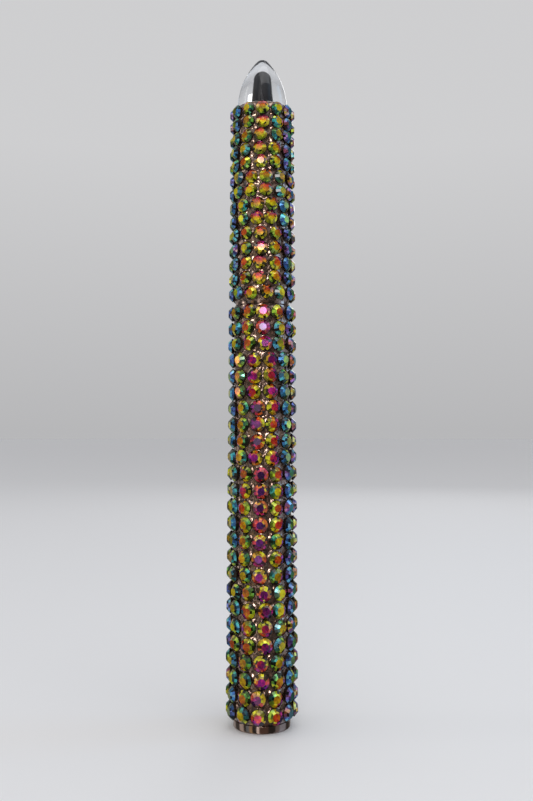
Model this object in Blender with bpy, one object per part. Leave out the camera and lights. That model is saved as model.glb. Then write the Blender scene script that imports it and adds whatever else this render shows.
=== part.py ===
"""Capped travel dip pen, standing on its end plug.

A plated tube in two lengths, barrel and cap, is covered in rings of flat-backed stones. The cap carries a
clear domed finial and pulls off the grip section along the pen's axis, which bares the pointed nib. The nib
is a push fit between a steel ferrule and its core, and pulls out to be changed.

Frame: metres, +Z up along the pen's axis, origin at the centre of the resting face. The sizes below are in
millimetres.
"""

import math
import random

import bmesh
import bpy
from mathutils import Matrix, Vector

MM = 0.001

# Driving dimensions, in millimetres.
TUBE_R = 5.65
TUBE_WALL = 0.5
PEN_LENGTH = 139.2
CAP_SEAM_Z = 83.4
STONE_D = 3.0
STONE_H = 1.45
STONES_PER_RING = 12
NIB_TRAVEL = 7.2

# Clearances.
SEAM_GAP = 0.15
GLUED_GAP = 0.06
SLIDING_GAP = 0.08
RUNNING_GAP = 0.1

# Tubes.
TUBE_BORE_R = TUBE_R - TUBE_WALL
INSERT_R = TUBE_BORE_R - GLUED_GAP
TUBE_CHAMFER = 0.08
PLUG_RIM_H = 1.45
BARREL_FOOT_Z = PLUG_RIM_H + SEAM_GAP
CAP_MOUTH_Z = CAP_SEAM_Z + SEAM_GAP
CAP_TOP_Z = 127.6

# Stone rings. The glue film is the thin twelve-sided band that the stones stand on.
# The pitch opens by twice the spread from one ring to the next, so a negative spread closes it.
FIRST_BARREL_RING_Z = 3.25
BARREL_PITCH = 3.22
BARREL_SPREAD = 0.0021
FIRST_CAP_RING_Z = 85.8
CAP_PITCH = 3.16
CAP_SPREAD = -0.005
FILM_INNER = TUBE_R + 0.05
FILM_OUTER = FILM_INNER + 0.2
STONE_SIDES = 8
TABLE_R = 0.82

# The rings were glued on in strips, listed from the foot up as (rings in the strip, turn of its front stones
# in degrees).
BARREL_STRIPS = ((2, -5.0), (2, -1.0), (4, 5.0), (2, -4.0), (5, -2.0), (4, -10.0), (3, -14.0), (3, 3.5))
CAP_STRIPS = ((1, 8.0), (4, -3.0), (2, -12.0), (2, 7.0), (3, -3.5), (2, 0.0))
DRIFT_SEED = 11
DRIFT_DEG = 1.2

# End plug.
PLUG_SPIGOT_TOP_Z = 6.5
PLUG_FLOOR_Z = 2.4
PLUG_BORE_R = 4.2
PLUG_EDGE = 0.3
FOOT_RECESS_R = 3.6
FOOT_RECESS_DEPTH = 0.25

# Grip section and the bush that it screws into.
TAIL_R = 3.1
TAIL_Z = 74.9
BUSH_Z = (75.4, 82.25)
FLANGE_Z = 82.4
SNAP_R = 4.4
SNAP_TOP_Z = 88.4
GROOVE_Z = 86.4
GROOVE_HALF = 0.5
GROOVE_R = 3.7
SECTION_TOP_Z = 98.4
HOLDER_R = 2.38
HOLDER_BORE_Z = 91.9
RING_CORD_R = 0.36

# Nib and its holder.
NIB_R = 2.0
NIB_THICK = 0.2
NIB_HEEL_Z = 92.7
FERRULE_TOP_Z = 99.7
NIB_TIP_Z = 114.4
CORE_FOOT_H = 0.5
CORE_TOP_Z = 99.8

# Cap lining, finial and the post that clamps them together.
LINER_MOUTH_Z = 84.0
LINER_R = 4.55
LINER_ROOF_Z = 123.6
LINER_TOP_Z = 124.6
FINIAL_FOOT_Z = LINER_TOP_Z + RUNNING_GAP
FINIAL_R = 5.45
FINIAL_TIP_R = 1.7
POST_R = 1.65
POST_TOP_R = 1.2
POST_SHAFT_TOP_Z = 134.0
POST_HEAD_R = 2.62
POST_HEAD_H = 0.5

ROUND_STEPS = 24
CORD_STEPS = 8

# Colours, roughness and metallic values of the materials.
FINISHES = {
    "rose_gold": ((0.72, 0.47, 0.38), 0.12, 1.0),
    "stone_foil": ((0.55, 0.42, 0.12), 0.08, 0.9),
    "clear_acrylic": ((0.93, 0.96, 1.0), 0.02, 0.0),
    "black_plastic": ((0.03, 0.03, 0.035), 0.45, 0.0),
    "dark_steel": ((0.10, 0.10, 0.11), 0.25, 1.0),
    "polished_steel": ((0.66, 0.67, 0.69), 0.2, 1.0),
    "brass": ((0.70, 0.52, 0.22), 0.3, 1.0),
    "rubber": ((0.02, 0.02, 0.02), 0.7, 0.0),
}


def clear_scene():
    for item in list(bpy.data.objects):
        bpy.data.objects.remove(item)


def make_material(name):
    colour, roughness, metallic = FINISHES[name]
    material = bpy.data.materials.new(name)
    material.use_nodes = True
    shader = material.node_tree.nodes["Principled BSDF"]
    shader.inputs["Base Color"].default_value = (*colour, 1.0)
    shader.inputs["Roughness"].default_value = roughness
    shader.inputs["Metallic"].default_value = metallic
    if name == "clear_acrylic":
        shader.inputs["Transmission Weight"].default_value = 1.0
    return material


def add_object(name, mesh, material, parent):
    item = bpy.data.objects.new(name, mesh)
    bpy.context.scene.collection.objects.link(item)
    if not mesh.materials:
        mesh.materials.append(material)
    item.parent = parent
    return item


def finished_mesh(name, bm, smooth=True):
    """The bmesh, still in millimetres, as a mesh in metres with its faces pointing out."""
    bmesh.ops.recalc_face_normals(bm, faces=bm.faces)
    bmesh.ops.scale(bm, vec=(MM, MM, MM), verts=bm.verts)
    mesh = bpy.data.meshes.new(name)
    bm.to_mesh(mesh)
    bm.free()
    if smooth:
        mesh.shade_smooth()
        mesh.set_sharp_from_angle(angle=math.radians(30))
    return mesh


def turned_mesh(name, outline):
    """A closed outline of (radius, height) turned about Z. One that starts on the axis is open there."""
    bm = bmesh.new()
    points = [bm.verts.new((radius, 0.0, height)) for radius, height in outline]
    pairs = list(zip(points, points[1:]))
    if outline[0][0] > 0.0:
        pairs.append((points[-1], points[0]))
    edges = [bm.edges.new(pair) for pair in pairs]
    bmesh.ops.spin(
        bm,
        geom=points + edges,
        cent=(0.0, 0.0, 0.0),
        axis=(0.0, 0.0, 1.0),
        angle=math.tau,
        steps=ROUND_STEPS,
        use_merge=True,
    )
    bmesh.ops.remove_doubles(bm, verts=bm.verts, dist=1e-5)
    return finished_mesh(name, bm)


def turned(name, outline, material, parent):
    return add_object(name, turned_mesh(name, outline), material, parent)


def arc(centre, radius, start_deg, end_deg, steps):
    """Points (radius, height) along a circular arc, both ends included."""
    found = []
    for step in range(steps + 1):
        angle = math.radians(start_deg + (end_deg - start_deg) * step / steps)
        found.append((centre[0] + radius * math.cos(angle), centre[1] + radius * math.sin(angle)))
    return found


def tube_outline(low, high):
    """A length of the plated tube with both outer edges broken."""
    return [
        (TUBE_BORE_R, low),
        (TUBE_R - TUBE_CHAMFER, low),
        (TUBE_R, low + TUBE_CHAMFER),
        (TUBE_R, high - TUBE_CHAMFER),
        (TUBE_R - TUBE_CHAMFER, high),
        (TUBE_BORE_R, high),
    ]


def plug_outline():
    """The cup-shaped end plug: a recessed foot, a rim as wide as the tube, and a hollow spigot."""
    return [
        (0.0, FOOT_RECESS_DEPTH),
        (FOOT_RECESS_R, FOOT_RECESS_DEPTH),
        (FOOT_RECESS_R + FOOT_RECESS_DEPTH, 0.0),
        (TUBE_R - PLUG_EDGE, 0.0),
        (TUBE_R, PLUG_EDGE),
        (TUBE_R, PLUG_RIM_H),
        (INSERT_R, PLUG_RIM_H),
        (INSERT_R, PLUG_SPIGOT_TOP_Z),
        (PLUG_BORE_R, PLUG_SPIGOT_TOP_Z),
        (PLUG_BORE_R, PLUG_FLOOR_Z),
        (0.0, PLUG_FLOOR_Z),
    ]


def bush_outline():
    low, high = BUSH_Z
    bore = TAIL_R + GLUED_GAP
    return [(bore, low), (INSERT_R, low), (INSERT_R, high), (bore, high)]


def section_outline():
    """The grip: a tail in the bush, a flange in the barrel's mouth, a seat for the cap, a waisted nose."""
    seat_z = CAP_SEAM_Z - TUBE_CHAMFER
    return [
        (0.0, TAIL_Z),
        (TAIL_R, TAIL_Z),
        (TAIL_R, FLANGE_Z),
        (INSERT_R, FLANGE_Z),
        (INSERT_R, seat_z),
        (SNAP_R, seat_z),
        (SNAP_R, GROOVE_Z - GROOVE_HALF),
        (GROOVE_R, GROOVE_Z - GROOVE_HALF),
        (GROOVE_R, GROOVE_Z + GROOVE_HALF),
        (SNAP_R, GROOVE_Z + GROOVE_HALF),
        (SNAP_R, SNAP_TOP_Z),
        (3.95, 90.4),
        (3.5, 93.4),
        (3.4, 95.9),
        (3.65, 97.7),
        (3.4, SECTION_TOP_Z),
        (HOLDER_R + GLUED_GAP, SECTION_TOP_Z),
        (HOLDER_R + GLUED_GAP, HOLDER_BORE_Z),
        (0.0, HOLDER_BORE_Z),
    ]


def snap_ring_outline():
    """The rubber ring in the section's groove, which the cap's lining grips."""
    centre = (GROOVE_R + 0.04 + RING_CORD_R, GROOVE_Z)
    return arc(centre, RING_CORD_R, 0.0, 360.0, CORD_STEPS)[:-1]


def core_outline():
    """The post that the nib is pushed over, with the foot that closes the holder."""
    low = HOLDER_BORE_Z + RUNNING_GAP
    radius = NIB_R - NIB_THICK - SLIDING_GAP
    return [
        (0.0, low),
        (HOLDER_R, low),
        (HOLDER_R, low + CORE_FOOT_H),
        (radius, low + CORE_FOOT_H),
        (radius, CORE_TOP_Z - 0.5),
        (radius - 0.4, CORE_TOP_Z),
        (0.0, CORE_TOP_Z),
    ]


def ferrule_outline():
    low = HOLDER_BORE_Z + RUNNING_GAP + CORE_FOOT_H + GLUED_GAP
    bore = NIB_R + SLIDING_GAP
    return [
        (bore, low),
        (HOLDER_R, low),
        (HOLDER_R, FERRULE_TOP_Z - 0.15),
        (HOLDER_R - 0.12, FERRULE_TOP_Z),
        (bore, FERRULE_TOP_Z),
    ]


def liner_outline():
    """The cap's lining: a sleeve with a roof, counterbored for the post's head."""
    hole = POST_R + SLIDING_GAP
    recess = POST_HEAD_R + SLIDING_GAP
    recess_z = LINER_ROOF_Z + POST_HEAD_H + RUNNING_GAP
    return [
        (LINER_R, LINER_MOUTH_Z),
        (INSERT_R, LINER_MOUTH_Z),
        (INSERT_R, LINER_TOP_Z),
        (hole, LINER_TOP_Z),
        (hole, recess_z),
        (recess, recess_z),
        (recess, LINER_ROOF_Z),
        (LINER_R, LINER_ROOF_Z),
    ]


def dome_arcs(shoulder_z):
    """The finial's pointed arch: a flank arc, upright at the shoulder, runs into a small round tip."""
    height = PEN_LENGTH - shoulder_z
    tip_rise = height - FINIAL_TIP_R
    flank = (tip_rise**2 + FINIAL_R**2 - FINIAL_TIP_R**2) / (2.0 * (FINIAL_R - FINIAL_TIP_R))
    join_deg = math.degrees(math.atan2(tip_rise, flank - FINIAL_R))
    side = arc((FINIAL_R - flank, shoulder_z), flank, 0.0, join_deg, 7)
    tip = arc((0.0, shoulder_z + tip_rise), FINIAL_TIP_R, join_deg, 90.0, 3)
    return side + tip[1:-1] + [(0.0, PEN_LENGTH)]


def finial_outline():
    """The clear finial: a spigot in the cap tube, a pointed dome and a round-ended bore for the post."""
    shoulder_z = CAP_TOP_Z + RUNNING_GAP
    bore = POST_R + SLIDING_GAP
    end_r = POST_TOP_R + SLIDING_GAP
    bore_end = arc((0.0, POST_SHAFT_TOP_Z), end_r, 90.0, 0.0, 4)
    bore_end[0] = (0.0, POST_SHAFT_TOP_Z + end_r)
    inside = [*bore_end, (bore, shoulder_z)]
    foot = [(bore, FINIAL_FOOT_Z), (INSERT_R, FINIAL_FOOT_Z), (INSERT_R, shoulder_z)]
    return list(reversed(foot + dome_arcs(shoulder_z) + inside))


def turned_through_axis(name, outline, material, parent):
    """Turns an outline that meets the axis twice, at the dome's tip and at the blind bore's end."""
    on_axis = [index for index, point in enumerate(outline) if point[0] == 0.0]
    split = on_axis[0] + 1
    return turned(name, outline[split:] + outline[:split], material, parent)


def post_outline():
    low = LINER_ROOF_Z + 0.05
    shaft_z = low + POST_HEAD_H
    head = [(0.0, low), (POST_HEAD_R, low), (POST_HEAD_R, shaft_z), (POST_R, shaft_z)]
    tip = arc((0.0, POST_SHAFT_TOP_Z), POST_TOP_R, 0.0, 90.0, 4)
    tip[-1] = (0.0, POST_SHAFT_TOP_Z + POST_TOP_R)
    return [*head, (POST_R, CAP_TOP_Z + RUNNING_GAP), *tip]


def stone_outline(half_width, half_height):
    """The eight corners (across, up) of a stone's back, anticlockwise from its right-hand side."""
    cut = math.tan(math.pi / STONE_SIDES)
    corners = []
    for step in range(STONE_SIDES):
        angle = math.tau * (step + 0.5) / STONE_SIDES
        across, up = math.cos(angle), math.sin(angle)
        if abs(across) > abs(up):
            corners.append((math.copysign(half_width, across), math.copysign(cut * half_height, up)))
        else:
            corners.append((math.copysign(cut * half_height, across), math.copysign(half_height, up)))
    return corners


def ring_mesh():
    """One ring of stones, joined by their glue film.

    Each stone is an eight-sided table over an eight-sided back that fills one flat of a twelve-sided band.
    The back's upright edges lie on the band's corners, so neighbouring stones share them.
    """
    bm = bmesh.new()
    half_turn = math.pi / STONES_PER_RING
    half_h = STONE_D / 2.0
    half_w = FILM_OUTER * math.tan(half_turn)
    outline = stone_outline(half_w, half_h)
    made = {}

    def vert(index, depth, across, up):
        """The vertex at a place on stone number index's flat, made once where two flats meet."""
        spot = Matrix.Rotation(2 * index * half_turn, 3, "Z") @ Vector((depth, across, up))
        key = tuple(round(value, 4) for value in spot)
        if key not in made:
            made[key] = bm.verts.new(spot)
        return made[key]

    for index in range(STONES_PER_RING):
        back = [vert(index, FILM_OUTER, across, up) for across, up in outline]
        table = []
        for step in range(STONE_SIDES):
            angle = math.tau * (step + 0.5) / STONE_SIDES
            place = (TABLE_R * math.cos(angle), TABLE_R * math.sin(angle))
            table.append(vert(index, FILM_INNER + STONE_H, *place))
        for step in range(STONE_SIDES):
            after = (step + 1) % STONE_SIDES
            bm.faces.new((back[step], back[after], table[after], table[step]))
        bm.faces.new(table)
        for side in (-1, 1):
            for end in (-1, 1):
                beside = [point for point in outline if point[0] * side > 0 and point[1] * end > 0]
                corner = vert(index, FILM_OUTER, side * half_w, end * half_h)
                bm.faces.new([corner] + [vert(index, FILM_OUTER, *point) for point in beside])
        inner_w = FILM_INNER * math.tan(half_turn)
        inner = {}
        for side in (-1, 1):
            for end in (-1, 1):
                inner[side, end] = vert(index, FILM_INNER, side * inner_w, end * half_h)
        for end in (-1, 1):
            edge = sorted(point for point in outline if point[1] == end * half_h)
            rim = [(-half_w, end * half_h), *edge, (half_w, end * half_h)]
            outer = [vert(index, FILM_OUTER, *point) for point in rim]
            bm.faces.new([*outer, inner[1, end], inner[-1, end]])
        bm.faces.new((inner[-1, -1], inner[1, -1], inner[1, 1], inner[-1, 1]))
    return finished_mesh("stone_ring", bm, smooth=False)


def ring_turns(strips, rng):
    """How far each ring is turned, in degrees, from the foot up, with a small drift within each strip."""
    return [turn + rng.uniform(-DRIFT_DEG, DRIFT_DEG) for count, turn in strips for _ in range(count)]


def add_rings(material, barrel, cap):
    mesh = ring_mesh()
    rng = random.Random(DRIFT_SEED)
    groups = (
        ("barrel", barrel, FIRST_BARREL_RING_Z, BARREL_PITCH, BARREL_SPREAD, ring_turns(BARREL_STRIPS, rng)),
        ("cap", cap, FIRST_CAP_RING_Z, CAP_PITCH, CAP_SPREAD, ring_turns(CAP_STRIPS, rng)),
    )
    for prefix, parent, first_z, pitch, spread, turns in groups:
        for index, turn in enumerate(turns):
            ring = add_object(f"{prefix}_stones_{index + 1:02d}", mesh, material, parent)
            ring.location.z = (first_z + index * pitch + index**2 * spread) * MM
            ring.rotation_euler.z = math.radians(turn)


def nib_half_angle(height):
    """Half the angle that the nib's sheet wraps round the pen's axis, in degrees, at a height."""
    knots = (
        (NIB_HEEL_Z, 100.0),
        (FERRULE_TOP_Z + 1.0, 100.0),
        (102.9, 92.0),
        (104.9, 84.0),
        (107.4, 60.0),
        (110.4, 34.0),
        (NIB_TIP_Z, 5.0),
    )
    for (low, first), (high, second) in zip(knots, knots[1:]):
        if height <= high:
            return first + (second - first) * (height - low) / (high - low)
    return knots[-1][1]


def nib_point(height, share):
    """A point of the nib's outer skin. share runs from -1 to 1 across the sheet."""
    angle = math.radians(nib_half_angle(height)) * share
    start = FERRULE_TOP_Z + 1.0
    bend = max(0.0, (height - start) / (NIB_TIP_Z - start))
    drop = 0.9 * bend * bend
    return Vector((NIB_R * math.sin(angle), drop - NIB_R * math.cos(angle), height))


def add_nib(material, parent):
    """A pointed nib: a part-round shank and shoulders, tines parted by a slit, and a round breather hole."""
    slit = 0.012
    hole = 0.11
    columns = (-1.0, -0.7, -0.4, -hole, -slit, slit, hole, 0.4, 0.7, 1.0)
    hole_z = (105.0, 106.0)
    shank = (NIB_HEEL_Z, 95.4, 97.9, FERRULE_TOP_Z + 1.0, 102.9)
    rows = (*shank, *hole_z, 107.4, 108.9, 110.4, 111.9, 113.3, NIB_TIP_Z)
    middle = columns.index(-slit)
    bm = bmesh.new()
    grid = [[bm.verts.new(nib_point(height, share)) for share in columns] for height in rows]
    for row, (low, high) in enumerate(zip(rows, rows[1:])):
        for column in range(len(columns) - 1):
            in_slit = column == middle and low >= hole_z[0]
            in_hole = low == hole_z[0] and abs(column - middle) <= 1
            if in_slit or in_hole:
                continue
            corners = (
                grid[row][column],
                grid[row][column + 1],
                grid[row + 1][column + 1],
                grid[row + 1][column],
            )
            bm.faces.new(corners)
    mesh = finished_mesh("nib", bm)
    nib = add_object("nib", mesh, material, parent)
    heel = mesh.polygons[0]
    faces_out = heel.normal.x * heel.center.x + heel.normal.y * heel.center.y > 0.0
    sheet = nib.modifiers.new("sheet", "SOLIDIFY")
    sheet.thickness = NIB_THICK * MM
    sheet.offset = -1.0 if faces_out else 1.0
    return nib


def add_empty(name):
    item = bpy.data.objects.new(name, None)
    bpy.context.scene.collection.objects.link(item)
    return item


def build():
    clear_scene()
    materials = {name: make_material(name) for name in FINISHES}
    barrel = add_empty("barrel_body")
    cap = add_empty("cap_body")
    nib_body = add_empty("nib_body")

    turned("barrel_tube", tube_outline(BARREL_FOOT_Z, CAP_SEAM_Z), materials["rose_gold"], barrel)
    turned("end_plug", plug_outline(), materials["rose_gold"], barrel)
    turned("section_bush", bush_outline(), materials["brass"], barrel)
    turned("grip_section", section_outline(), materials["rose_gold"], barrel)
    turned("cap_snap_ring", snap_ring_outline(), materials["rubber"], barrel)
    turned("nib_core", core_outline(), materials["black_plastic"], barrel)
    turned("nib_ferrule", ferrule_outline(), materials["polished_steel"], barrel)
    add_nib(materials["polished_steel"], nib_body)

    turned("cap_tube", tube_outline(CAP_MOUTH_Z, CAP_TOP_Z), materials["rose_gold"], cap)
    turned("cap_liner", liner_outline(), materials["black_plastic"], cap)
    turned_through_axis("finial", finial_outline(), materials["clear_acrylic"], cap)
    turned("finial_post", post_outline(), materials["dark_steel"], cap)
    add_rings(materials["stone_foil"], barrel, cap)


build()
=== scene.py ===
"""Looks for the capped travel dip pen: stones, glue, plated tube, clear finial and the nib under the cap."""

import math
import random

import bmesh
import bpy
from mathutils import Matrix, Vector, noise


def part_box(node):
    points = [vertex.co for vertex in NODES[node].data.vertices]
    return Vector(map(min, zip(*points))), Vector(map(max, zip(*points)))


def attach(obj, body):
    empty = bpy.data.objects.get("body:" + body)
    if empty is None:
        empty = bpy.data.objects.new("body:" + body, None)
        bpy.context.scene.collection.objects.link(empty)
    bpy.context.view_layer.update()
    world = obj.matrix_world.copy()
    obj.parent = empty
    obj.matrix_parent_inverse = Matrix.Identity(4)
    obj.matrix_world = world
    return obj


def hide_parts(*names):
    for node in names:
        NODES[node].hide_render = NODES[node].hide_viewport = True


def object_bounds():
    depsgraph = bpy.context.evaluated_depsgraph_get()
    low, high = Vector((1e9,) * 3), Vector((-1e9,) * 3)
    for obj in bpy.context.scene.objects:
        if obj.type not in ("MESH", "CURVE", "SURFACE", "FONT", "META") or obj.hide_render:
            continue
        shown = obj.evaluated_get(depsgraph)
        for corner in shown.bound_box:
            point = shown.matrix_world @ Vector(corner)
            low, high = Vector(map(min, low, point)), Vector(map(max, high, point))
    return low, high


MM = 0.001
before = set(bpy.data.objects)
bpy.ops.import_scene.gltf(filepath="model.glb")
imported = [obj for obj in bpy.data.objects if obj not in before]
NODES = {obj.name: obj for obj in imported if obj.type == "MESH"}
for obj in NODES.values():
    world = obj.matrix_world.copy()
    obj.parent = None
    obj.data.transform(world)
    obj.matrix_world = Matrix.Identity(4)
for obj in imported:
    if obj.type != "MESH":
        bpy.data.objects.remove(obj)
cad_box = [list(corner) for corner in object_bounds()]


# ---------------------------------------------------------------- node helpers


def new_material(name, **values):
    """A Principled material with the given socket values, and its tree and shader."""
    material = bpy.data.materials.new(name)
    material.use_nodes = True
    tree = material.node_tree
    shader = tree.nodes["Principled BSDF"]
    for socket, value in values.items():
        shader.inputs[socket.replace("_", " ")].default_value = value
    return material, tree, shader


def node(tree, kind, **settings):
    made = tree.nodes.new(kind)
    for key, value in settings.items():
        if key in made.inputs:
            made.inputs[key].default_value = value
        else:
            setattr(made, key, value)
    return made


def grain(tree, scale, detail=2.0, roughness=0.5, stretch=None):
    """A noise value at a scale given in features per metre, optionally stretched along an axis."""
    coords = node(tree, "ShaderNodeTexCoord")
    vector = coords.outputs["Object"]
    if stretch:
        mapping = node(tree, "ShaderNodeMapping")
        mapping.inputs["Scale"].default_value = stretch
        tree.links.new(vector, mapping.inputs["Vector"])
        vector = mapping.outputs["Vector"]
    texture = node(tree, "ShaderNodeTexNoise", Scale=scale, Detail=detail, Roughness=roughness)
    tree.links.new(vector, texture.inputs["Vector"])
    return texture.outputs["Fac"]


def remap(tree, value, low, high, to_low, to_high):
    mapped = node(tree, "ShaderNodeMapRange")
    for socket, number in (("From Min", low), ("From Max", high), ("To Min", to_low), ("To Max", to_high)):
        mapped.inputs[socket].default_value = number
    tree.links.new(value, mapped.inputs["Value"])
    return mapped.outputs["Result"]


def maths(tree, operation, *operands):
    """A Math node's result from operands that are each a socket or a number."""
    made = node(tree, "ShaderNodeMath", operation=operation)
    for socket, operand in zip(made.inputs, operands):
        if isinstance(operand, bpy.types.NodeSocket):
            tree.links.new(operand, socket)
        else:
            socket.default_value = operand
    return made.outputs[0]


def blend_colours(tree, share, first, second):
    """A colour between two, each a socket or a colour."""
    mix = node(tree, "ShaderNodeMix", data_type="RGBA")
    tree.links.new(share, mix.inputs["Factor"])
    for socket, colour in ((mix.inputs[6], first), (mix.inputs[7], second)):
        if isinstance(colour, bpy.types.NodeSocket):
            tree.links.new(colour, socket)
        else:
            socket.default_value = (*colour, 1.0)
    return mix.outputs[2]


def add_bump(tree, shader, height, distance, strength=1.0):
    bump = node(tree, "ShaderNodeBump", Strength=strength, Distance=distance)
    tree.links.new(height, bump.inputs["Height"])
    tree.links.new(bump.outputs["Normal"], shader.inputs["Normal"])


# ---------------------------------------------------------------- materials


def rose_gold(name, brushed=False, dark=1.0):
    """Rose-gold plating: warm metal with faint tarnish clouds and fine scratches."""
    material, tree, shader = new_material(name, Metallic=1.0)
    clouds = grain(tree, 260.0, 3.0)
    bright = (0.72 * dark, 0.54 * dark, 0.46 * dark)
    dull = (0.5 * dark, 0.34 * dark, 0.27 * dark)
    colour = blend_colours(tree, remap(tree, clouds, 0.38, 0.7, 0.0, 1.0), bright, dull)
    tree.links.new(colour, shader.inputs["Base Color"])
    fine = grain(tree, 900.0, 2.0, stretch=(1.0, 1.0, 14.0) if brushed else (3.0, 3.0, 1.0))
    tree.links.new(remap(tree, fine, 0.3, 0.7, 0.06, 0.17), shader.inputs["Roughness"])
    add_bump(tree, shader, fine, 0.000004, 0.35)
    return material


def glue_film():
    """Clear glossy glue over the rose-gold plating: lumpy, with a hard gloss on top, its colour partly
    painted shade of the gaps between the stones.
    """
    material, tree, shader = new_material(
        "glue_film", Metallic=0.9, Coat_Weight=1.0, Coat_Roughness=0.03, Coat_IOR=1.5
    )
    clouds = grain(tree, 700.0, 3.0)
    shade = remap(tree, clouds, 0.38, 0.66, 0.0, 1.0)
    # The lighter brown is the plating's own tone; the near-black brown it is mottled with is painted shade
    # of the dark gaps between the stones.
    colour = blend_colours(tree, shade, (0.56, 0.38, 0.29), (0.16, 0.1, 0.075))
    tree.links.new(colour, shader.inputs["Base Color"])
    tree.links.new(remap(tree, clouds, 0.3, 0.7, 0.1, 0.24), shader.inputs["Roughness"])
    lumps = grain(tree, 1300.0, 2.0, stretch=(1.0, 1.0, 0.5))
    add_bump(tree, shader, lumps, 0.00014, 0.9)
    return material


def stone_glass():
    """Coated stone: the colour that each facet throws back, read from the tint, whose brightness is painted
    glints and painted shade, under the gloss of the glass.
    """
    material, tree, shader = new_material(
        "stone_coating", Metallic=0.5, Coat_Weight=1.0, Coat_Roughness=0.015, Coat_IOR=1.55
    )
    tint = node(tree, "ShaderNodeAttribute", attribute_name="tint")
    clouds = grain(tree, 900.0, 2.0)
    deeper = node(tree, "ShaderNodeHueSaturation", Hue=0.485, Saturation=1.15, Value=0.5)
    tree.links.new(tint.outputs["Color"], deeper.inputs["Color"])
    shade = remap(tree, clouds, 0.4, 0.7, 0.0, 1.0)
    colour = blend_colours(tree, shade, tint.outputs["Color"], deeper.outputs["Color"])
    tree.links.new(colour, shader.inputs["Base Color"])
    tree.links.new(remap(tree, clouds, 0.3, 0.7, 0.16, 0.3), shader.inputs["Roughness"])
    return material


def stone_foil_and_shade():
    """The foil at a stone's back and girdle, coloured near black as painted shade: the dark edge that shows
    at a stone's girdle.
    """
    material, tree, shader = new_material("stone_foil_and_painted_shade", Metallic=0.7)
    specks = grain(tree, 2500.0)
    colour = blend_colours(tree, specks, (0.012, 0.009, 0.008), (0.08, 0.05, 0.038))
    tree.links.new(colour, shader.inputs["Base Color"])
    tree.links.new(remap(tree, specks, 0.3, 0.7, 0.15, 0.4), shader.inputs["Roughness"])
    return material


def clear_acrylic():
    material, tree, shader = new_material(
        "clear_acrylic", Base_Color=(0.97, 0.985, 1.0, 1.0), Transmission_Weight=1.0, IOR=1.49
    )
    haze = grain(tree, 400.0, 4.0, 0.6)
    tree.links.new(remap(tree, haze, 0.5, 0.75, 0.0, 0.03), shader.inputs["Roughness"])
    add_bump(tree, shader, grain(tree, 90.0, 1.0), 0.00004, 0.2)
    return material


def moulded_plastic(name, colour):
    material, tree, shader = new_material(name)
    fine = grain(tree, 3500.0, 2.0)
    darker = tuple(0.55 * channel for channel in colour)
    tree.links.new(blend_colours(tree, grain(tree, 300.0), colour, darker), shader.inputs["Base Color"])
    tree.links.new(remap(tree, fine, 0.3, 0.7, 0.32, 0.5), shader.inputs["Roughness"])
    add_bump(tree, shader, fine, 0.00001, 0.4)
    return material


def turned_metal(name, bright, dull, rough=(0.16, 0.3), stretch=(1.0, 1.0, 30.0)):
    """Metal with the fine rings that a lathe or a polishing wheel leaves."""
    material, tree, shader = new_material(name, Metallic=1.0)
    rings = grain(tree, 500.0, 3.0, stretch=stretch)
    tree.links.new(blend_colours(tree, grain(tree, 350.0, 3.0), bright, dull), shader.inputs["Base Color"])
    tree.links.new(remap(tree, rings, 0.3, 0.7, *rough), shader.inputs["Roughness"])
    add_bump(tree, shader, rings, 0.000006, 0.4)
    return material


def soft_rubber():
    material, tree, shader = new_material("rubber")
    fine = grain(tree, 5000.0)
    colour = blend_colours(tree, fine, (0.012, 0.012, 0.012), (0.035, 0.034, 0.033))
    tree.links.new(colour, shader.inputs["Base Color"])
    tree.links.new(remap(tree, fine, 0.3, 0.7, 0.55, 0.75), shader.inputs["Roughness"])
    add_bump(tree, shader, fine, 0.00001, 0.5)
    return material


# ---------------------------------------------------------------- shapes


def add_piece(name, mesh, material, body, replaced=()):
    """Puts a mesh in the scene as a piece that rides on a body, in place of the named CAD nodes."""
    piece = bpy.data.objects.new(name, mesh)
    bpy.context.scene.collection.objects.link(piece)
    if not mesh.materials:
        mesh.materials.append(material)
    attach(piece, body)
    if replaced:
        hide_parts(*replaced)


def smooth_step(low, high, value):
    """0 up to low and 1 from high on, with a smooth rise between."""
    share = min(1.0, max(0.0, (value - low) / (high - low)))
    return share * share * (3.0 - 2.0 * share)


def arc(centre, radius, start_deg, end_deg, steps):
    """Points along an arc, as (radius, height)."""
    found = []
    for step in range(steps + 1):
        angle = math.radians(start_deg + (end_deg - start_deg) * step / steps)
        found.append((centre[0] + radius * math.cos(angle), centre[1] + radius * math.sin(angle)))
    return found


def turned(name, outline, segments=96):
    """A mesh in metres from an outline of (radius, height) in millimetres, turned about Z."""
    bm = bmesh.new()
    points = [bm.verts.new((radius, 0.0, height)) for radius, height in outline]
    pairs = list(zip(points, points[1:]))
    if outline[0][0] > 0.0:
        pairs.append((points[-1], points[0]))
    edges = [bm.edges.new(pair) for pair in pairs]
    bmesh.ops.spin(
        bm,
        geom=points + edges,
        cent=(0.0, 0.0, 0.0),
        axis=(0.0, 0.0, 1.0),
        angle=math.tau,
        steps=segments,
        use_merge=True,
    )
    bmesh.ops.remove_doubles(bm, verts=bm.verts, dist=1e-5)
    bmesh.ops.recalc_face_normals(bm, faces=bm.faces)
    bmesh.ops.scale(bm, vec=(MM, MM, MM), verts=bm.verts)
    mesh = bpy.data.meshes.new(name)
    bm.to_mesh(mesh)
    bm.free()
    mesh.shade_smooth()
    mesh.set_sharp_from_angle(angle=math.radians(35))
    return mesh


# ---------------------------------------------------------------- stones

STONES = 12
STONE_SIDES = 16
SIDE_TURN = 360.0 / STONE_SIDES
CAP_STONE_SIZE = 0.955

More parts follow.
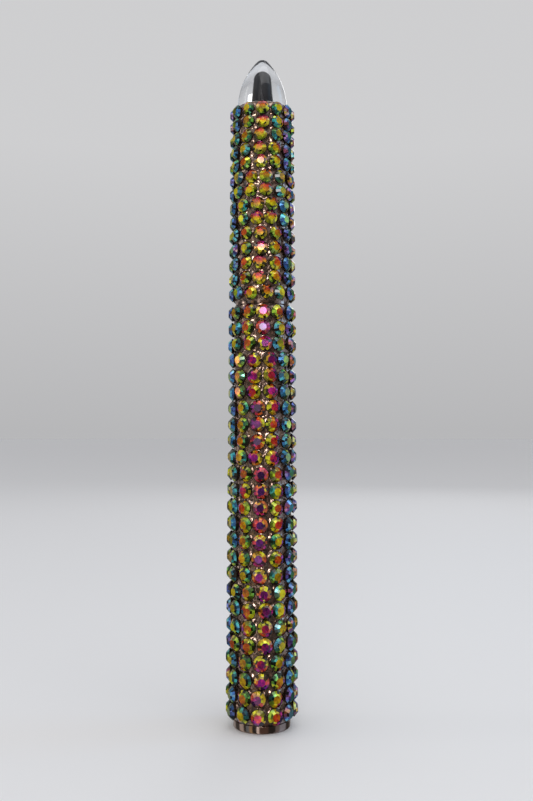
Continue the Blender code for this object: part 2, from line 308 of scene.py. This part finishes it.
# Where a stone's back sits, its radii, and how far outward from its back they lie, in millimetres.
STONE_SEAT = 5.8
BACK_R = 1.25
STONE_R = 1.58
TABLE_R = 0.78
GIRDLE_W = (0.5, 0.57)
BRIM_R = 1.5
BRIM_W = 0.65
TABLE_W = 1.35

# The share of the way from table to brim at which a crown facet is split in two.
CROWN_SPLIT = 0.45

# How unevenly the stones are set: turn in degrees, height in millimetres, lean in degrees, coating tilt.
SEED = 5
TURN_SPREAD = 1.0
HEIGHT_SPREAD = 0.08
LEAN_SPREAD = 2.4
TILT_SPREAD = 0.025

# The coating's colours in sRGB, by coating angle in degrees.
COATING_COLOURS = (
    (0.0, (58, 20, 78)),
    (5.0, (88, 22, 100)),
    (8.5, (150, 28, 120)),
    (10.5, (216, 44, 104)),
    (12.5, (232, 62, 44)),
    (15.0, (236, 100, 22)),
    (17.5, (242, 148, 18)),
    (20.5, (246, 200, 24)),
    (24.0, (204, 180, 20)),
    (28.0, (156, 180, 34)),
    (32.0, (98, 150, 56)),
    (36.0, (44, 116, 104)),
    (41.0, (66, 140, 176)),
    (46.0, (82, 140, 222)),
    (51.0, (92, 112, 196)),
    (55.0, (150, 100, 176)),
    (58.0, (216, 120, 110)),
    (61.0, (240, 150, 50)),
    (65.0, (244, 214, 90)),
    (69.0, (130, 204, 140)),
    (74.0, (70, 180, 214)),
    (82.0, (110, 130, 220)),
    (90.0, (226, 150, 170)),
)

# The coating angle is a fixed pattern: a table's follows its stone's place round and up the pen, and a
# facet's is shifted by the facet's own tilt.
COLUMN_TILT = 0.64
FOOT_TILT, TOP_TILT = 0.18, -0.22
PATTERN_TOP = 128.0
FACET_TILT = 0.35

# The coating angle's own departures: each stone's mean and spread, a shift to one side of the front, and a
# patch high up in its middle where a facet runs through other colours from its foot to its top.
STONE_ANGLE = (0.2, 1.7)
SIDE_SHIFT, SIDE_SHIFT_TURN = 11.0, (15.0, 60.0)
PATCH_SHARE, PATCH_Z, PATCH_TURN = 0.85, (78.0, 90.0), (12.0, 34.0)

# How far a facet's and a corner's angle stray, and in the patch the middle angle, its fall and its reach.
FACET_SPREAD, CORNER_SPREAD = 0.6, 1.0
PATCH_CROWN, PATCH_TABLE = (20.0, 11.0, STONE_R), (19.0, 8.5, TABLE_R)

# How bright facets are, all of it painted light. A crown facet's random draw gains below the glint share, as
# a painted glint, and is dimmed to near black above the shaded mark, as painted shade; tables and corners
# vary as painted shading.
CROWN_LEAST, CROWN_RANGE, CROWN_POWER = 0.3, 0.75, 1.5
GLINT_SHARE, GLINT_GAIN = 0.2, 1.5
SHADED_FROM, SHADED_FACTOR = 0.74, 0.07
TABLE_LEAST, TABLE_VARIES = 0.25, (0.75, 1.25)
CORNER_VARIES = (0.6, 1.4)
GLOW = 1.42
TINT_LIMIT = 0.98


def linear(channel):
    channel /= 255.0
    return channel / 12.92 if channel <= 0.04045 else ((channel + 0.055) / 1.055) ** 2.4


def coating_colour(angle):
    """The coating's linear colour at an angle in degrees, between the two nearest entries of the table."""
    for (low, first), (high, second) in zip(COATING_COLOURS, COATING_COLOURS[1:]):
        if angle <= high:
            share = max(0.0, (angle - low) / (high - low))
            return [linear(a + (b - a) * share) for a, b in zip(first, second)]
    return [linear(channel) for channel in COATING_COLOURS[-1][1]]


def facet_colours(corners, tilt, flaw, spread_up, table_strength, rng):
    """A facet's corner colours, fixed to the stone: its tilt gives the hue and a random draw its brightness,
    which is painted light: bright draws are painted glints, near-black ones painted shade, and corners
    differ as painted shading.

    The spread is how far the coating angle is drawn to one that falls from the stone's foot to its top.
    """
    normal = (corners[1] - corners[0]).cross(corners[2] - corners[0]).normalized()
    across, up = (own + FACET_TILT * part for own, part in zip(tilt, (normal.x, normal.y)))
    angle = math.degrees(math.asin(min(1.0, math.hypot(across, up)))) + flaw
    angle += rng.gauss(0.0, FACET_SPREAD)
    centre = sum(corners, Vector()) / len(corners)
    at_rim = math.hypot(centre.x, centre.y) > TABLE_R
    chance = rng.random()
    if at_rim:
        strength = CROWN_LEAST + CROWN_RANGE * rng.random() ** CROWN_POWER
        strength += GLINT_GAIN if chance < GLINT_SHARE else 0.0
        strength *= SHADED_FACTOR if chance > SHADED_FROM else 1.0
    else:
        strength = (TABLE_LEAST + table_strength) * rng.uniform(*TABLE_VARIES)
    patch_angle, fall, reach = PATCH_CROWN if at_rim else PATCH_TABLE
    colours = []
    for corner in corners:
        drawn = patch_angle - fall * corner.y / reach
        met = angle + (drawn + 0.6 * flaw - angle) * spread_up
        glow = GLOW * strength * rng.uniform(*CORNER_VARIES)
        hue = coating_colour(abs(met + rng.gauss(0.0, CORNER_SPREAD)))
        colours.append((*(min(TINT_LIMIT, channel * glow) for channel in hue), 1.0))
    return colours


def polar(radius, degrees, depth):
    turn = math.radians(degrees)
    return Vector((radius * math.cos(turn), radius * math.sin(turn), depth))


def stone_faces(spin):
    """One stone's faces as (kind, corners). A corner is (across, up, outward) from its back's middle."""
    sides = range(STONE_SIDES)
    back = [polar(BACK_R, spin + SIDE_TURN * k, 0.0) for k in sides]
    low = [polar(STONE_R, spin + SIDE_TURN * k, GIRDLE_W[0]) for k in sides]
    high = [polar(STONE_R, spin + SIDE_TURN * k, GIRDLE_W[1]) for k in sides]
    brim = [polar(BRIM_R, spin + SIDE_TURN * k, BRIM_W) for k in sides]
    wedges = STONE_SIDES // 2
    table = [polar(TABLE_R, spin + 2 * SIDE_TURN * k + SIDE_TURN / 2, TABLE_W) for k in range(wedges)]
    middle = Vector((0.0, 0.0, TABLE_W))
    faces = [("back", list(reversed(back)))]
    for k in sides:
        after = (k + 1) % STONE_SIDES
        faces.append(("back", [back[k], back[after], low[after], low[k]]))
        faces.append(("girdle", [low[k], low[after], high[after], high[k]]))
        faces.append(("girdle", [high[k], high[after], brim[after], brim[k]]))
    for k in range(wedges):
        here, there = table[k], table[(k + 1) % wedges]
        corner, left, right = (brim[(2 * k + step) % STONE_SIDES] for step in range(3))
        faces.append(("facet", [middle, here, there]))
        for near, far in (((here,), (corner, left)), ((here, there), (left, right))):
            inner = [near[0].lerp(far[0], CROWN_SPLIT), near[-1].lerp(far[1], CROWN_SPLIT)]
            faces.append(("facet", [near[0], *inner, *near[1:]]))
            faces.append(("facet", [inner[0], *far, inner[1]]))
    return faces


def ring_place(name):
    """(height, turn in degrees) of a ring of stones, read from its CAD node's outermost corners."""
    low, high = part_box(name)
    reach = max(corner.co.xy.length for corner in NODES[name].data.vertices)
    total = complex(0.0)
    for corner in NODES[name].data.vertices:
        if corner.co.xy.length > 0.97 * reach:
            total += (complex(*corner.co.xy) / abs(complex(*corner.co.xy))) ** STONES
    return (low.z + high.z) / 2 / MM, math.degrees(math.atan2(total.imag, total.real)) / STONES


def add_stones(name, body, number, coating, foil_and_shade):
    """One ring's twelve stones as a piece in place of its CAD node, each a little off its place."""
    rng = random.Random(SEED * 1000 + number)
    height, ring_turn = ring_place(name)
    size = CAP_STONE_SIZE if body == "cap" else 1.0
    upright = Matrix(((0, 0, 1), (1, 0, 0), (0, 1, 0)))
    points, faces, kinds, colours = [], [], [], []
    for index in range(STONES):
        turn = ring_turn + 360.0 / STONES * index + rng.gauss(0.0, TURN_SPREAD)
        seat = STONE_SEAT + rng.uniform(-0.04, 0.02)
        lift = Vector((seat, 0.0, height + rng.gauss(0.0, HEIGHT_SPREAD)))
        lean = Matrix.Rotation(math.radians(rng.gauss(0.0, LEAN_SPREAD)), 3, "Y")
        lean = lean @ Matrix.Rotation(math.radians(rng.gauss(0.0, LEAN_SPREAD)), 3, "Z")
        about = Matrix.Rotation(math.radians(turn), 3, "Z")
        # The turn from the middle of the front, or on the back half from the middle of the back.
        column = (turn + 90.0 + 90.0) % 180.0 - 90.0
        rise = min(1.0, height / PATTERN_TOP)
        tilt = (-COLUMN_TILT * math.sin(math.radians(column)) + rng.gauss(0.0, TILT_SPREAD),
                FOOT_TILT + (TOP_TILT - FOOT_TILT) * rise + rng.gauss(0.0, TILT_SPREAD))
        flaw = rng.gauss(*STONE_ANGLE) - SIDE_SHIFT * smooth_step(*SIDE_SHIFT_TURN, -column)
        spread_up = PATCH_SHARE * smooth_step(*PATCH_Z, height)
        spread_up = spread_up * (1.0 - smooth_step(*PATCH_TURN, abs(column)))
        # A table's brightness is drawn at random and is painted light: a few tables come out much brighter
        # as painted highlights.
        table_strength = 0.2 + 1.1 * rng.random() ** 2
        for kind, corners in stone_faces(rng.uniform(0.0, 45.0)):
            first = len(points)
            points.extend((about @ (lean @ (upright @ (corner * size)) + lift)) * MM for corner in corners)
            faces.append(range(first, first + len(corners)))
            kinds.append(kind)
            if kind == "facet":
                colours.extend(facet_colours(corners, tilt, flaw, spread_up, table_strength, rng))
            else:
                colours.extend([(0.0, 0.0, 0.0, 1.0)] * len(corners))
    mesh = bpy.data.meshes.new(name)
    mesh.from_pydata(points, [], faces)
    mesh.materials.append(coating)
    # The back and girdle faces take the foil coloured near black as painted shade.
    mesh.materials.append(foil_and_shade)
    tint = mesh.color_attributes.new("tint", "FLOAT_COLOR", "CORNER")
    for polygon, kind in zip(mesh.polygons, kinds):
        polygon.material_index = 0 if kind == "facet" else 1
    for corner_tint, colour in zip(tint.data, colours):
        corner_tint.color = colour
    mesh.update()
    add_piece(f"set_{name}", mesh, None, body, (name,))


# ---------------------------------------------------------------- glue film

# In millimetres, apart from the counts of columns and feathered rows.
TUBE_R = 5.65
FILM_R = 5.71
GLUE_BEYOND = 1.9
GLUE_ROW_H = 0.25
GLUE_COLUMNS = 150
GLUE_FEATHER_ROWS = 3.0
GLUE_SUNK = 0.02
PATTERN_R = 6.0
VEIN_H, LUMP_H = 0.16, 0.05
FILLET_H, FILLET_REACH = 0.3, (1.4, 1.85)
FAR_AWAY = 9.0


def glue_radius(angle, height, away):
    """The glue's radius at a place that is so far away from the nearest stone's middle."""
    place = Vector((PATTERN_R * math.cos(angle), PATTERN_R * math.sin(angle), height * 0.75))
    vein = max(0.0, 1.0 - 4.0 * abs(noise.noise(place * 0.9))) ** 2
    radius = FILM_R + VEIN_H * vein + LUMP_H * noise.noise(place * 2.3)
    fillet = FILLET_H * (1.0 - smooth_step(*FILLET_REACH, away))
    return radius + fillet * (0.7 + 0.5 * noise.noise(place * 0.5))


def add_glue(name, body, rings, reach, material):
    """The lumpy glue between the stones of some rings, each (height, turn), as one skin over the tube."""
    low, high = max(rings[0][0] - GLUE_BEYOND, reach[0]), min(rings[-1][0] + GLUE_BEYOND, reach[1])
    rows = int((high - low) / GLUE_ROW_H)
    half_pitch = math.pi / STONES
    bm = bmesh.new()
    grid = []
    for row in range(rows + 1):
        height = low + (high - low) * row / rows
        near = [(ring_height, math.radians(turn)) for ring_height, turn in rings
                if abs(ring_height - height) < 2.0]
        feather = smooth_step(0.0, 1.0, min(row, rows - row) / GLUE_FEATHER_ROWS)
        made = []
        for column in range(GLUE_COLUMNS):
            angle = math.tau * column / GLUE_COLUMNS
            away = FAR_AWAY
            for ring_height, turn in near:
                off = (angle - turn + half_pitch) % (math.tau / STONES) - half_pitch
                away = min(away, math.hypot(off * PATTERN_R, ring_height - height))
            radius = glue_radius(angle, height, away)
            radius = TUBE_R - GLUE_SUNK + (radius - TUBE_R + GLUE_SUNK) * feather
            spot = (radius * math.cos(angle) * MM, radius * math.sin(angle) * MM, height * MM)
            made.append(bm.verts.new(spot))
        grid.append(made)
    for lower, upper in zip(grid, grid[1:]):
        for column in range(GLUE_COLUMNS):
            after = (column + 1) % GLUE_COLUMNS
            bm.faces.new((lower[column], lower[after], upper[after], upper[column]))
    mesh = bpy.data.meshes.new(name)
    bm.to_mesh(mesh)
    bm.free()
    mesh.shade_smooth()
    add_piece(name, mesh, material, body)


# ---------------------------------------------------------------- turned parts

TUBE_BORE_R = 5.15
INSERT_R = 5.09
DOME_FOOT_Z = 127.7
POST_R = 1.65
POST_TIP_R = 1.22
POST_TIP_Z = 133.3
POST_TIP_STRETCH = 1.7
NIB_R = 2.0
NIB_THICK = 0.2
NIB_HEEL_Z = 92.7
NIB_BEND_Z = 100.7
NIB_TIP_Z = 114.4
NIB_HOLE_Z, NIB_HOLE_R = 105.5, 0.52
NIB_SHARES = (0, 0.08, 0.25, 0.5, 0.75, 0.93, 1)


def eased(outline, radius=0.06, steps=3):
    """An outline with its corners rounded, apart from the corners that lie on the axis."""
    eased_points = []
    for index, point in enumerate(outline):
        if point[0] == 0.0:
            eased_points.append(point)
            continue
        here = Vector(point)
        before = Vector(outline[index - 1]) - here
        after = Vector(outline[(index + 1) % len(outline)]) - here
        reach = min(radius, 0.45 * before.length, 0.45 * after.length)
        start, end = here + before.normalized() * reach, here + after.normalized() * reach
        for step in range(steps + 1):
            share = step / steps
            spot = start.lerp(here, share).lerp(here.lerp(end, share), share)
            eased_points.append((spot.x, spot.y))
    return eased_points


def curve_through(points, steps=6):
    """Points along a smooth curve through some knots of (radius, height)."""
    found = []
    padded = [points[0], *points, points[-1]]
    for a, b, c, d in zip(padded, padded[1:], padded[2:], padded[3:]):
        for step in range(steps):
            t = step / steps
            found.append(tuple(
                0.5 * (2 * b[i] + (c[i] - a[i]) * t + (2 * a[i] - 5 * b[i] + 4 * c[i] - d[i]) * t * t
                       + (3 * b[i] - a[i] - 3 * c[i] + d[i]) * t**3)
                for i in (0, 1)
            ))
    return found + [points[-1]]


def tube_outline(low, high):
    return eased([(TUBE_BORE_R, low), (TUBE_R, low), (TUBE_R, high), (TUBE_BORE_R, high)], 0.08)


def plug_outline():
    rim_top = 1.45
    return eased([
        (0.0, 0.25), (3.6, 0.25), (3.85, 0.0), (5.35, 0.0), (5.53, 0.06), (5.62, 0.16), (TUBE_R, 0.3),
        (TUBE_R, rim_top), (INSERT_R, rim_top), (INSERT_R, 6.5), (4.2, 6.5), (4.2, 2.4), (0.0, 2.4),
    ])


def grip_outline():
    """The grip section: seat, groove, and a waisted nose with three fine turned lines for the fingers."""
    waist = curve_through([(4.4, 88.4), (3.95, 90.4), (3.5, 93.4), (3.4, 95.9), (3.65, 97.7)], 8)
    lined = waist[1:-1]
    for line in (91.2, 92.0, 92.8):
        near = min(lined, key=lambda point: abs(point[1] - line))
        index = lined.index(near)
        lined[index:index + 1] = [
            (near[0], near[1] - 0.09), (near[0] - 0.07, near[1]), (near[0], near[1] + 0.09)
        ]
    # The first corner is only there to lead into the second, so its own rounding is left out.
    steps = 3
    groove = [(4.4, 83.32), (4.4, 85.9), (3.7, 85.9), (3.7, 86.9), (4.4, 86.9)]
    groove = eased(groove, 0.05, steps)[steps + 1:]
    return [
        (0.0, 74.9), (3.1, 74.9), (3.1, 82.4), (INSERT_R, 82.4), (INSERT_R, 83.32), *groove,
        (4.4, 88.4), *lined, (3.65, 97.7), (3.64, 97.95), (3.56, 98.2), (3.4, 98.4),
        (2.5, 98.4), (2.44, 98.34), (2.44, 91.9), (0.0, 91.9),
    ]


def finial_outline():
    """The clear dome: a spigot in the cap tube, then flank arcs that run into a small round tip."""
    flank_r, tip_r = 5.45, 1.7
    rise = PEN_TOP - DOME_FOOT_Z - tip_r
    flank = (rise**2 + flank_r**2 - tip_r**2) / (2.0 * (flank_r - tip_r))
    join = math.degrees(math.atan2(rise, flank - flank_r))
    side = arc((flank_r - flank, DOME_FOOT_Z), flank, 0.0, join, 40)
    tip = arc((0.0, DOME_FOOT_Z + rise), tip_r, join, 90.0, 12)
    spigot = [(0.0, 124.7), (5.0, 124.7), (INSERT_R, 124.8), (INSERT_R, DOME_FOOT_Z)]
    return [*spigot, *side, *tip[1:-1], (0.0, PEN_TOP)]


def post_outline():
    low = 123.65
    tip = arc((0.0, POST_TIP_Z), POST_TIP_R, 0.0, 90.0, 16)
    stretched = [(radius, POST_TIP_Z + (height - POST_TIP_Z) * POST_TIP_STRETCH) for radius, height in tip]
    return [
        (0.0, low), (2.5, low), (2.62, low + 0.12), (2.62, low + 0.5), (1.71, low + 0.5),
        (POST_R, low + 0.56), (POST_R, DOME_FOOT_Z), *stretched[:-1],
        (0.0, POST_TIP_Z + POST_TIP_R * POST_TIP_STRETCH),
    ]


def nib_half_angle(height):
    """Half the angle that the nib's sheet wraps round the pen's axis, in degrees, at a height."""
    knots = ((92.7, 100), (100.7, 100), (102.9, 92), (104.9, 84), (107.4, 60), (110.4, 34), (114.4, 5))
    for (low, first), (high, second) in zip(knots, knots[1:]):
        if height <= high:
            share = (height - low) / (high - low)
            return first + (second - first) * share
    return knots[-1][1]


def nib_point(height, degrees, depth):
    """A point of the nib's sheet, degrees round from its middle and depth in from its outer skin."""
    bend = max(0.0, (height - NIB_BEND_Z) / (NIB_TIP_Z - NIB_BEND_Z))
    radius = NIB_R - depth
    angle = math.radians(degrees)
    return Vector((radius * math.sin(angle), 0.9 * bend * bend - radius * math.cos(angle), height)) * MM


def nib_row(bm, height, side):
    """One level of half the nib's sheet, as vertices from the slit to its edge and back inside."""
    half = nib_half_angle(height)
    inner = 0.35 if height > NIB_HOLE_Z else 0.0
    if abs(height - NIB_HOLE_Z) < NIB_HOLE_R:
        hole_half = math.sqrt(NIB_HOLE_R**2 - (height - NIB_HOLE_Z) ** 2)
        inner = max(inner, math.degrees(hole_half / 2.0))
    inner = min(inner, 0.6 * half)
    spread = [side * (inner + (half - inner) * share) for share in NIB_SHARES]
    skin = [bm.verts.new(nib_point(height, spot, 0.03 if spot == spread[-1] else 0.0)) for spot in spread]
    lining = [bm.verts.new(nib_point(height, spot, NIB_THICK)) for spot in reversed(spread)]
    return skin + lining


def nib_mesh():
    """The pointed nib: a pressed sheet with rounded shoulders, a breather hole and a slit to its tip."""
    heights = [NIB_HEEL_Z, 92.78] + [93.2 + 0.5 * step for step in range(23)]
    heights += [NIB_HOLE_Z + NIB_HOLE_R * math.sin(math.radians(step)) for step in range(-90, 91, 15)]
    heights += [106.5 + 0.4 * step for step in range(20)] + [114.32, NIB_TIP_Z]
    heights = sorted(height for height in heights if height <= NIB_TIP_Z)
    bm = bmesh.new()
    for side in (-1, 1):
        rows = [nib_row(bm, height, side) for height in heights]
        for lower, upper in zip(rows, rows[1:]):
            for column in range(len(lower)):
                after = (column + 1) % len(lower)
                bm.faces.new((lower[column], lower[after], upper[after], upper[column]))
        for ring in (rows[0], rows[-1]):
            for column in range(len(ring) // 2 - 1):
                bm.faces.new((ring[column], ring[column + 1], ring[-2 - column], ring[-1 - column]))
    bmesh.ops.remove_doubles(bm, verts=bm.verts, dist=1e-8)
    bmesh.ops.recalc_face_normals(bm, faces=bm.faces)
    mesh = bpy.data.meshes.new("nib_sheet")
    bm.to_mesh(mesh)
    bm.free()
    mesh.shade_smooth()
    mesh.set_sharp_from_angle(angle=math.radians(40))
    return mesh


# ---------------------------------------------------------------- build

PEN_TOP = cad_box[1][2] / MM
METAL = rose_gold("rose_gold_plating")
RIM_METAL = rose_gold("rose_gold_rim", brushed=True, dark=0.9)
COATING = stone_glass()
FOIL_AND_SHADE = stone_foil_and_shade()
GLUE = glue_film()

for ring_body, first_number, tube_reach in (("barrel", 0, (1.72, 83.2)), ("cap", 100, (83.75, 127.5))):
    ring_names = sorted(name for name in NODES if name.startswith(f"{ring_body}_stones_"))
    for ring_number, ring_name in enumerate(ring_names, first_number):
        add_stones(ring_name, ring_body, ring_number, COATING, FOIL_AND_SHADE)
    add_glue(f"{ring_body}_glue", ring_body, [ring_place(name) for name in ring_names], tube_reach, GLUE)

BRASS = turned_metal("turned_brass", (0.72, 0.53, 0.24), (0.5, 0.35, 0.15))
STEEL = turned_metal("ferrule_steel", (0.62, 0.63, 0.65), (0.42, 0.42, 0.44))
NIB_STEEL = turned_metal("nib_steel", (0.66, 0.67, 0.7), (0.46, 0.46, 0.48), stretch=(20.0, 20.0, 1.0))
DARK_STEEL = turned_metal(
    "post_steel", (0.05, 0.05, 0.053), (0.03, 0.03, 0.032), (0.4, 0.48), (1.0, 1.0, 9.0)
)
CORE_PLASTIC = moulded_plastic("core_plastic", (0.03, 0.03, 0.034))
LINER_PLASTIC = moulded_plastic("liner_plastic", (0.035, 0.035, 0.04))

TURNED_PARTS = (
    ("barrel_skin", "barrel_tube", "barrel", "rose_gold", METAL, tube_outline(1.6, 83.4)),
    ("foot_plug", "end_plug", "barrel", "rose_gold", RIM_METAL, plug_outline()),
    ("brass_bush", "section_bush", "barrel", "brass", BRASS,
     eased([(3.16, 75.4), (INSERT_R, 75.4), (INSERT_R, 82.25), (3.16, 82.25)], 0.15)),
    ("grip", "grip_section", "barrel", "rose_gold", METAL, grip_outline()),
    ("rubber_ring", "cap_snap_ring", "barrel", "rubber", soft_rubber(), arc((4.1, 86.4), 0.36, 0, 345, 23)),
    ("core", "nib_core", "barrel", "black_plastic", CORE_PLASTIC,
     eased([(0.0, 92.0), (2.38, 92.0), (2.38, 92.5), (1.72, 92.5), (1.72, 99.3), (1.32, 99.8),
            (0.0, 99.8)])),
    ("ferrule", "nib_ferrule", "barrel", "polished_steel", STEEL,
     eased([(2.08, 92.56), (2.38, 92.56), (2.38, 99.7), (2.08, 99.7)], 0.13, 5)),
    ("cap_skin", "cap_tube", "cap", "rose_gold", METAL, tube_outline(83.55, 127.6)),
    ("lining", "cap_liner", "cap", "black_plastic", LINER_PLASTIC,
     eased([(4.55, 84.0), (INSERT_R, 84.0), (INSERT_R, 124.6), (1.73, 124.6), (1.73, 124.25),
            (2.7, 124.25), (2.7, 123.6), (4.55, 123.6)])),
    ("clear_finial", "finial", "cap", "clear_acrylic", clear_acrylic(), finial_outline()),
    ("dark_post", "finial_post", "cap", "dark_steel", DARK_STEEL, post_outline()),
)
for piece_name, replaced, part_body, part_slot, look, outline in TURNED_PARTS:
    add_piece(piece_name, turned(piece_name, outline), look, part_body, (replaced,))
add_piece("steel_nib", nib_mesh(), NIB_STEEL, "nib", ("nib",))

# ---------------------------------------------------------------- camera, floor and light

# The floor and the lights' aim, in metres.
FLOOR_R = 6.0
LIGHTS_AIM = Vector((0.0, 0.0, 0.07))

# The camera as fitted to the photograph: distances in millimetres unless the name says pixels.
FOCAL_PX = 906.0
LONG_SIDE_PX = 801.0
SENSOR = 36.0
CAMERA_BACK = 192.2
CAMERA_UP = 57.5
CAMERA_PITCH = 10.12
SHIFT_UP = -0.165
AXIS_LEFT_PX = 4.3

camera_data = bpy.data.cameras.new("camera")
camera_data.sensor_width = SENSOR
camera_data.lens = FOCAL_PX / LONG_SIDE_PX * SENSOR
camera_data.shift_y = SHIFT_UP
camera_data.clip_start = 0.01
camera_data.clip_end = 20.0
camera = bpy.data.objects.new("camera", camera_data)
bpy.context.scene.collection.objects.link(camera)
camera.location = (AXIS_LEFT_PX / FOCAL_PX * CAMERA_BACK * MM, -CAMERA_BACK * MM, CAMERA_UP * MM)
camera.rotation_euler = (math.radians(90.0 + CAMERA_PITCH), 0.0, 0.0)
bpy.context.scene.camera = camera

floor_mesh = bpy.data.meshes.new("floor")
bm = bmesh.new()
bmesh.ops.create_circle(bm, cap_ends=True, segments=96, radius=FLOOR_R)
bm.to_mesh(floor_mesh)
bm.free()
floor = bpy.data.objects.new("floor", floor_mesh)
bpy.context.scene.collection.objects.link(floor)
floor_mesh.materials.append(new_material("floor", Base_Color=(0.84, 0.84, 0.85, 1.0), Roughness=0.6)[0])
floor.visible_glossy = False


def softbox(name, turn, elevation, distance, size, radiance, colour=(1.0, 1.0, 1.0)):
    """A rectangular light facing the pen's middle, placed by angles in degrees from the pen's front."""
    turn, elevation = math.radians(turn), math.radians(elevation)
    away = Vector((
        math.sin(turn) * math.cos(elevation), -math.cos(turn) * math.cos(elevation), math.sin(elevation)
    ))
    lamp = bpy.data.lights.new(name, "AREA")
    lamp.shape = "RECTANGLE"
    lamp.size, lamp.size_y = size
    lamp.energy = radiance * math.pi * size[0] * size[1]
    lamp.color = colour
    made = bpy.data.objects.new(name, lamp)
    bpy.context.scene.collection.objects.link(made)
    made.location = LIGHTS_AIM + distance * away
    made.rotation_euler = (-away).to_track_quat("-Z", "Y").to_euler()


softbox("key_front", -4.0, 15.0, 0.6, (0.14, 0.2), 8.0, (1.0, 0.96, 0.92))
softbox("side_right", 98.0, 22.0, 0.6, (0.2, 0.5), 1.1, (0.3, 0.62, 1.0))
softbox("side_left", -90.0, 22.0, 0.6, (0.07, 0.5), 1.6, (1.0, 0.98, 0.95))
softbox("back", 165.0, 25.0, 0.7, (0.25, 0.25), 1.5)
softbox("top", 20.0, 72.0, 0.8, (0.5, 0.5), 1.2)

# What shiny surfaces reflect: dim walls with soft upright strips in grey, tan and blue, by the turn in
# degrees from the pen's front.
STRIPS = (
    (-180, (0.10, 0.10, 0.10)), (-155, (0.30, 0.30, 0.30)), (-135, (0.30, 0.30, 0.30)),
    (-125, (0.06, 0.06, 0.06)), (-102, (0.06, 0.06, 0.06)), (-97, (0.42, 0.41, 0.40)),
    (-80, (0.42, 0.41, 0.40)), (-75, (0.04, 0.04, 0.04)), (-67, (0.04, 0.04, 0.04)),
    (-64, (0.15, 0.19, 0.22)), (-54, (0.15, 0.19, 0.22)), (-48, (0.34, 0.26, 0.15)),
    (-40, (0.34, 0.26, 0.15)), (-37, (0.03, 0.03, 0.03)), (-22, (0.03, 0.03, 0.03)),
    (-19, (0.75, 0.72, 0.70)), (-12, (0.75, 0.72, 0.70)), (-9, (0.09, 0.06, 0.05)),
    (22, (0.10, 0.07, 0.06)), (30, (0.03, 0.03, 0.03)), (54, (0.03, 0.03, 0.03)),
    (58, (0.16, 0.16, 0.17)), (72, (0.16, 0.16, 0.17)), (80, (0.30, 0.37, 0.48)),
    (108, (0.30, 0.37, 0.48)), (114, (0.05, 0.05, 0.05)), (140, (0.06, 0.06, 0.06)),
    (150, (0.25, 0.25, 0.25)), (165, (0.25, 0.25, 0.25)), (180, (0.10, 0.10, 0.10)),
)

world = bpy.data.worlds.new("studio")
bpy.context.scene.world = world
world.use_nodes = True
sky = world.node_tree
sky.nodes.clear()


def background(colour):
    """A world shader of one colour, given as a socket or a colour."""
    made = node(sky, "ShaderNodeBackground", Strength=1.0)
    if isinstance(colour, bpy.types.NodeSocket):
        sky.links.new(colour, made.inputs["Color"])
    else:
        made.inputs["Color"].default_value = (*colour, 1.0)
    return made.outputs[0]


def mixed(share, first, second):
    """A world shader between two, by a socket that gives the second's share."""
    made = node(sky, "ShaderNodeMixShader")
    for socket, source in zip(made.inputs, (share, first, second)):
        sky.links.new(source, socket)
    return made.outputs[0]


facing = node(sky, "ShaderNodeSeparateXYZ")
sky.links.new(node(sky, "ShaderNodeTexCoord").outputs["Generated"], facing.inputs[0])
ray_turn = maths(sky, "ARCTAN2", facing.outputs["X"], maths(sky, "MULTIPLY", facing.outputs["Y"], -1.0))
strips = node(sky, "ShaderNodeValToRGB")
strips.color_ramp.elements.remove(strips.color_ramp.elements[1])
strips.color_ramp.elements[0].position = 0.0
strips.color_ramp.elements[0].color = (*STRIPS[0][1], 1.0)
for degrees, colour in STRIPS[1:]:
    strips.color_ramp.elements.new((degrees + 180.0) / 360.0).color = (*colour, 1.0)
sky.links.new(remap(sky, ray_turn, -math.pi, math.pi, 0.0, 1.0), strips.inputs[0])
overhead = remap(sky, facing.outputs["Z"], 0.35, 0.9, 0.0, 1.0)
walls = background(blend_colours(sky, overhead, strips.outputs["Color"], (0.42, 0.44, 0.48)))
soft = background((0.68, 0.68, 0.69))
rise = remap(sky, facing.outputs["Z"], 0.0, 0.3, 0.0, 1.0)
backdrop = background(blend_colours(sky, rise, (0.475, 0.475, 0.485), (0.62, 0.62, 0.63)))

# Shiny surfaces reflect the walls, dull ones take soft light, and what is seen directly is a plain backdrop.
path = node(sky, "ShaderNodeLightPath")
direct = maths(sky, "MAXIMUM", path.outputs["Is Camera Ray"], path.outputs["Is Transmission Ray"])
lit = mixed(path.outputs["Is Diffuse Ray"], walls, soft)
output = node(sky, "ShaderNodeOutputWorld")
sky.links.new(mixed(direct, lit, backdrop), output.inputs[0])
bpy.context.scene.view_settings.view_transform = "Standard"
